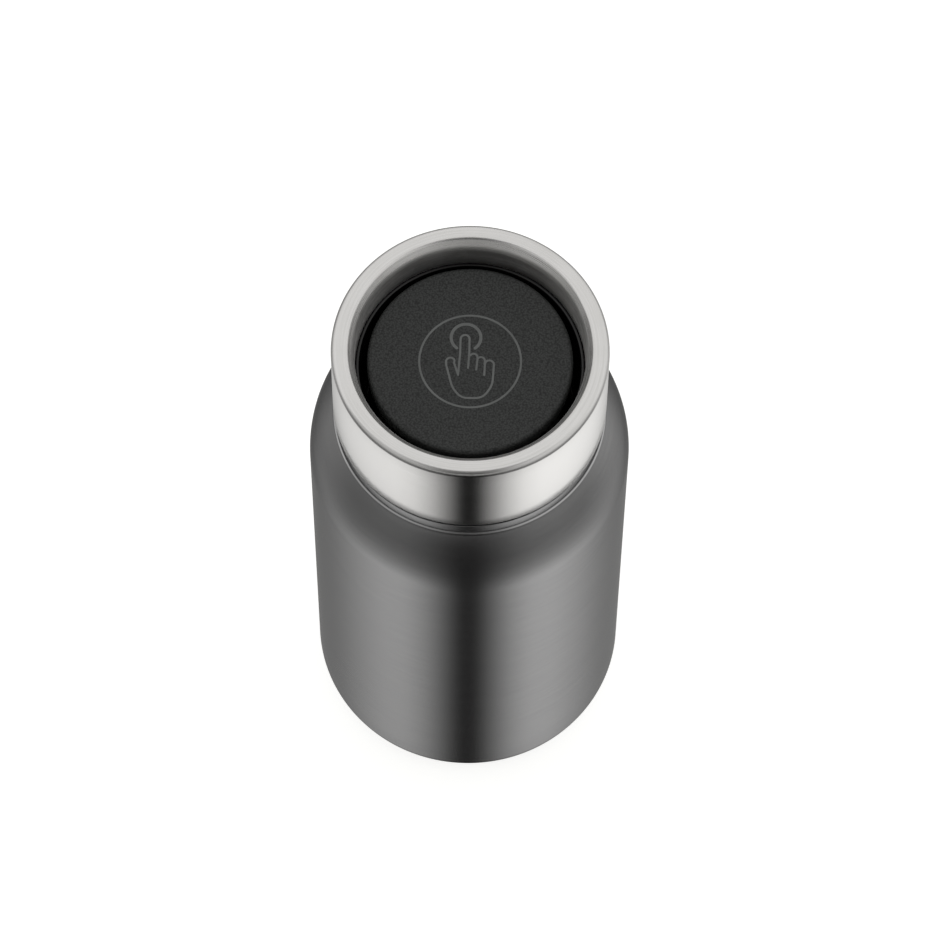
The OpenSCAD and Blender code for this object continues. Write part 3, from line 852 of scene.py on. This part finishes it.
# The world is the studio: panels round the object, a dark gap in front, and a softbox overhead
def makeStudio(c):
    world = bpy.data.worlds.new("studio")
    bpy.context.scene.world = world
    world.use_nodes = True
    tree = world.node_tree
    tree.nodes.clear()
    towards = addNode(tree, "ShaderNodeTexCoord").outputs["Generated"]
    parts = addNode(tree, "ShaderNodeSeparateXYZ", {}, {0: towards}).outputs
    across = addNode(tree, "ShaderNodeMath", {"operation": "ABSOLUTE"}, {0: parts["X"]})
    front = addNode(tree, "ShaderNodeMath", {"operation": "SUBTRACT", 0: c["turnCentre"]}, {1: parts["Y"]})
    turn = addNode(tree, "ShaderNodeMath", {"operation": "ARCTAN2"},
                   {0: across.outputs[0], 1: front.outputs[0]})
    turnShare = addNode(tree, "ShaderNodeMath", {"operation": "DIVIDE", 1: math.pi}, {0: turn.outputs[0]})
    upShare = addNode(tree, "ShaderNodeMapRange", {"From Min": -1.0, "From Max": 1.0}, {"Value": parts["Z"]})
    ramps = {}
    for name, share in (("roundTheAxis", turnShare), ("downToUp", upShare),
                        ("downToUpBehind", upShare), ("gapFill", upShare)):
        ramp = addNode(tree, "ShaderNodeValToRGB", greyStops(c[name]), {"Fac": share.outputs[0]})
        ramps[name] = ramp.outputs["Color"]
    filled = addNode(tree, "ShaderNodeMath", {"operation": "MAXIMUM"},
                     {0: ramps["roundTheAxis"], 1: ramps["gapFill"]})
    behind = addNode(tree, "ShaderNodeMapRange", smoothFrom(*c["behindFrom"]),
                     {"Value": turnShare.outputs[0]})
    upward = addNode(tree, "ShaderNodeMix", {"data_type": "FLOAT"},
                     {0: behind.outputs[0], 2: ramps["downToUp"], 3: ramps["downToUpBehind"]})
    crown = addNode(tree, "ShaderNodeMapRange", smoothFrom(*c["crownFrom"]), {"Value": parts["Z"]})
    gapStart, gapEnd, gapLeast = c["crownGap"]
    ceiling = addNode(tree, "ShaderNodeMapRange", {**smoothFrom(gapStart, gapEnd), "To Min": gapLeast},
                      {"Value": across.outputs[0]})
    around = addNode(tree, "ShaderNodeMix", {"data_type": "FLOAT"},
                     {0: crown.outputs[0], 2: filled.outputs[0], 3: ceiling.outputs[0]})
    lean = addNode(tree, "ShaderNodeMath", {"operation": "MULTIPLY_ADD", 1: c["rightBoost"], 2: 1.0},
                   {0: parts["X"]})
    leaned = addNode(tree, "ShaderNodeMath", {"operation": "MULTIPLY"},
                     {0: around.outputs[0], 1: lean.outputs[0]})
    panels = addNode(tree, "ShaderNodeMath", {"operation": "MULTIPLY"},
                     {0: leaned.outputs[0], 1: upward.outputs[0]})
    boxY = addNode(tree, "ShaderNodeMapRange", smoothFrom(*c["overheadFrom"]), {"Value": parts["Y"]})
    boxZ = addNode(tree, "ShaderNodeMapRange", smoothFrom(*c["overheadDownTo"]), {"Value": parts["Z"]})
    box = addNode(tree, "ShaderNodeMath", {"operation": "MULTIPLY"}, {0: boxY.outputs[0], 1: boxZ.outputs[0]})
    level = addNode(tree, "ShaderNodeMix", {"data_type": "FLOAT", 3: c["overhead"]},
                    {0: box.outputs[0], 2: panels.outputs[0]})
    scaled = addNode(tree, "ShaderNodeMath", {"operation": "MULTIPLY", 1: c["level"]}, {0: level.outputs[0]})
    light = addNode(tree, "ShaderNodeBackground", {"Color": (1.0, 0.995, 0.985, 1)},
                    {"Strength": scaled.outputs[0]})
    seen = addNode(tree, "ShaderNodeBackground", {"Color": (1, 1, 1, 1), "Strength": c["skyForCamera"]})
    ray = addNode(tree, "ShaderNodeLightPath")
    both = addNode(tree, "ShaderNodeMixShader", {},
                   {0: ray.outputs["Is Camera Ray"], 1: light.outputs[0], 2: seen.outputs[0]})
    addNode(tree, "ShaderNodeOutputWorld", {}, {"Surface": both.outputs[0]})


makeFloor(studio)
makeStudio(studio)
print("studio: made")

# Camera: high in front, looking down steeply with a long lens
camera = {"sideM": 0.0011, "backM": 0.5059, "upM": 1.2033, "pitchDeg": 65.49, "rollDeg": 0.6, "lensMm": 202.8}


def makeCamera(c):
    data = bpy.data.cameras.new("camera")
    data.lens = c["lensMm"]
    data.sensor_width = 36
    data.clip_end = 100
    view = bpy.data.objects.new("camera", data)
    view.location = (c["sideM"], -c["backM"], c["upM"])
    tilt = Matrix.Rotation(math.radians(90 - c["pitchDeg"]), 3, "X")
    view.rotation_euler = (tilt @ Matrix.Rotation(math.radians(c["rollDeg"]), 3, "Z")).to_euler()
    bpy.context.scene.collection.objects.link(view)
    bpy.context.scene.camera = view


makeCamera(camera)
bpy.context.scene.view_settings.view_transform = "Standard"
print("camera: made")
